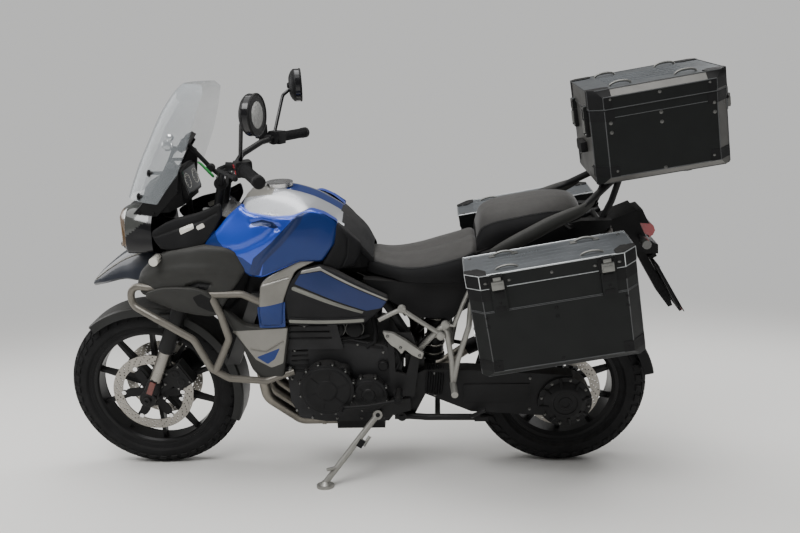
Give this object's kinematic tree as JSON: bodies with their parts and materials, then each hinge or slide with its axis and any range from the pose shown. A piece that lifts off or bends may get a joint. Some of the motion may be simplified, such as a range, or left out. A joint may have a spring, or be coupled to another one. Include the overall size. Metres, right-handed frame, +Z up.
{
  "type": "adventure motorcycle",
  "caption": "Adventure motorcycle with a beak, tall clear screen, crash bars, side boxes and a top box, shaft drive and cast wheels, leaning on its side stand.",
  "frame": {"origin": "Centre of the bounding box, on the ground", "axes": "-X forward, +X to the rear, -Y to the rider's left, where the side stand is, +Z up; the motorcycle leans about 13 degrees to its left"},
  "size_m": [2.3604, 1.086, 1.5216],
  "materials": {
    "tyre_rubber": "matt",
    "wheel_black": "satin",
    "disc_steel": "brushed",
    "fork_metal": "satin",
    "frame_black": "satin",
    "engine_grey": "satin",
    "exhaust_steel": "heat-tinted",
    "silver_metal": "polished",
    "body_blue": "gloss",
    "body_silver": "gloss",
    "matte_grey": "matt",
    "black_plastic": "matt",
    "crash_grey": "satin",
    "seat_cover": "grained vinyl",
    "clear_screen": "clear",
    "lens": "clear",
    "red_lens": "gloss",
    "amber_lens": "gloss",
    "box_charcoal": "powder-coated",
    "box_lid": "powder-coated"
  },
  "bodies": {
    "chassis": {"main_frame": "frame_black", "nose_stay": "frame_black", "engine": "engine_grey", "radiator": "frame_black", "exhaust_headers": "exhaust_steel", "silencer": "silver_metal", "subframe": "silver_metal", "footpeg_hangers": "silver_metal", "crash_bars": "crash_grey", "fuel_tank": "body_blue", "tank_sides": "body_blue", "tank_top_cover": "body_silver", "front_cowls": "matte_grey", "infill_panels": "body_silver", "side_covers": "matte_grey", "tail_panels": "black_plastic", "beak": "body_blue", "headlight": "black_plastic", "headlight_lens": "lens", "windscreen": "clear_screen", "instrument_panel": "black_plastic", "rider_seat": "seat_cover", "pillion_seat": "seat_cover", "rear_rack": "black_plastic", "rear_mudguard": "black_plastic", "tail_light": "red_lens", "indicators": "amber_lens", "swingarm": "frame_black", "rear_shock": "frame_black", "rear_hugger": "black_plastic", "left_side_box": "box_charcoal", "right_side_box": "box_charcoal", "top_box": "box_charcoal"},
    "steering_assembly": {"front_fork": "fork_metal", "handlebar": "frame_black", "hand_controls": "black_plastic", "mirrors": "black_plastic", "device_holder": "black_plastic", "front_mudguard": "matte_grey", "front_calipers": "frame_black"},
    "front_wheel": {"front_tyre": "tyre_rubber", "front_rim": "wheel_black", "front_discs": "disc_steel"},
    "rear_wheel": {"rear_tyre": "tyre_rubber", "rear_rim": "wheel_black", "rear_disc": "disc_steel"},
    "top_lid_body": {"top_box_lid": "box_lid"},
    "left_lid_body": {"left_box_lid": "box_lid"},
    "right_lid_body": {"right_box_lid": "box_lid"},
    "cap_body": {"fuel_cap": "silver_metal"},
    "side_stand_body": {"side_stand": "silver_metal"},
    "centre_stand_body": {"centre_stand": "frame_black"}
  },
  "joints": [
    {"name": "steering_turn", "type": "hinge", "parent": "chassis", "child": "steering_assembly", "pos_m": [-0.55724, 0.02126, 0.87942], "axis": [0.4049, -0.201, 0.892], "range_deg": [-38, 38]},
    {"name": "front_wheel_spin", "type": "hinge", "parent": "steering_assembly", "child": "front_wheel", "pos_m": [-0.85089, 0.14672, 0.32259], "axis": [-0.0001, 0.9755, 0.2198], "continuous": true},
    {"name": "rear_wheel_spin", "type": "hinge", "parent": "chassis", "child": "rear_wheel", "pos_m": [0.67911, 0.14855, 0.31498], "axis": [-0.0001, 0.9755, 0.2198], "continuous": true},
    {"name": "top_lid_hinge", "type": "hinge", "parent": "chassis", "child": "top_lid_body", "pos_m": [0.71512, -0.07856, 1.32273], "axis": [0.0001, -0.9755, -0.2198], "range_deg": [0, 95]},
    {"name": "left_lid_hinge", "type": "hinge", "parent": "chassis", "child": "left_lid_body", "pos_m": [0.57885, -0.23083, 0.82482], "axis": [-0.9876, 0.0344, -0.1529], "range_deg": [0, 95]},
    {"name": "right_lid_hinge", "type": "hinge", "parent": "chassis", "child": "right_lid_body", "pos_m": [0.57881, 0.27255, 0.93826], "axis": [0.9876, -0.0344, 0.1529], "range_deg": [0, 95]},
    {"name": "fuel_cap_hinge", "type": "hinge", "parent": "chassis", "child": "cap_body", "pos_m": [-0.37813, -0.02425, 1.08141], "axis": [0.0001, -0.9755, -0.2198], "range_deg": [0, 90]},
    {"name": "side_stand_pivot", "type": "hinge", "parent": "chassis", "child": "side_stand_body", "pos_m": [0.00614, -0.03043, 0.24471], "axis": [0.2333, -0.97, 0.0684], "range_deg": [0, 100]},
    {"name": "centre_stand_pivot", "type": "hinge", "parent": "chassis", "child": "centre_stand_body", "pos_m": [0.09213, 0.16152, 0.25724], "axis": [-0.0001, 0.9755, 0.2198], "range_deg": [0, 95], "stiffness_Nm_per_rad": 12, "springref_deg": -85.94}
  ]
}
